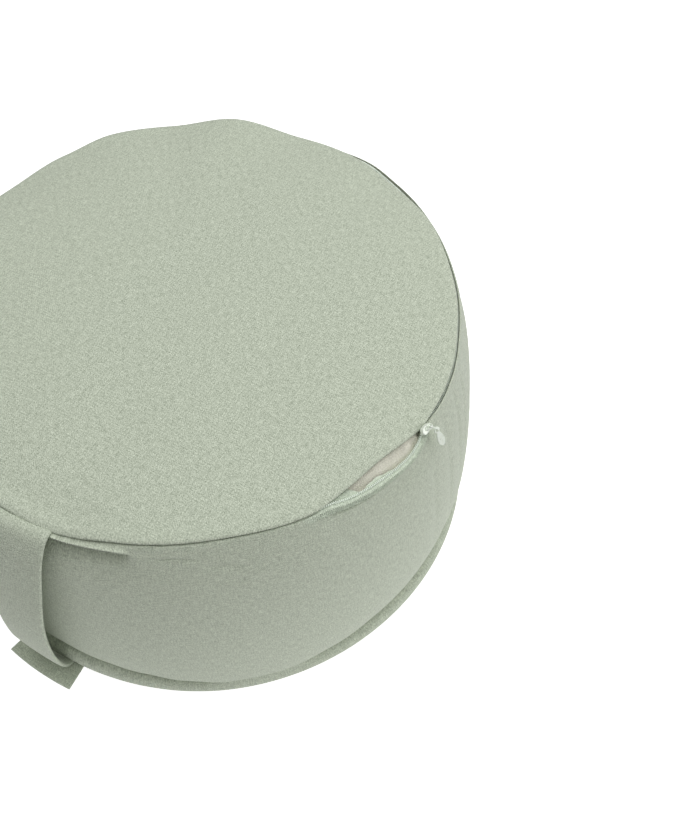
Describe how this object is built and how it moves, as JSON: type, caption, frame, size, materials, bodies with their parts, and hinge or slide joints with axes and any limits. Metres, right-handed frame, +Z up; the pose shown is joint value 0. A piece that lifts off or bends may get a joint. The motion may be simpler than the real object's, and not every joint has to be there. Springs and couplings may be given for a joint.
{
  "type": "meditation cushion",
  "caption": "Round drum-shaped meditation cushion in a zipped canvas cover, with a filled inner cushion, a side carrying strap and a flat foot tab.",
  "frame": {"origin": "centre of the flat underside, on the floor", "axes": "+Z up out of the underside, -Y towards the carrying strap, +X towards the zip slider"},
  "size_m": [0.3631, 0.3777, 0.1849],
  "materials": {
    "canvas": "matt heathered cotton canvas, sage green",
    "casing": "matt undyed cotton",
    "zip_cloth": "pale mint woven polyester tape and coil",
    "zip_metal": "pale mint lacquered zinc"
  },
  "bodies": {
    "root": {"top_panel": "canvas", "side_band": "canvas", "bottom_panel": "canvas", "inner_cushion": "casing", "handle_strap": "canvas", "foot_tab": "canvas", "zip_tape": "zip_cloth", "zip_coil": "zip_cloth", "zip_slider": "zip_metal", "zip_link": "zip_metal", "zip_pull": "zip_metal"}
  },
  "joints": []
}
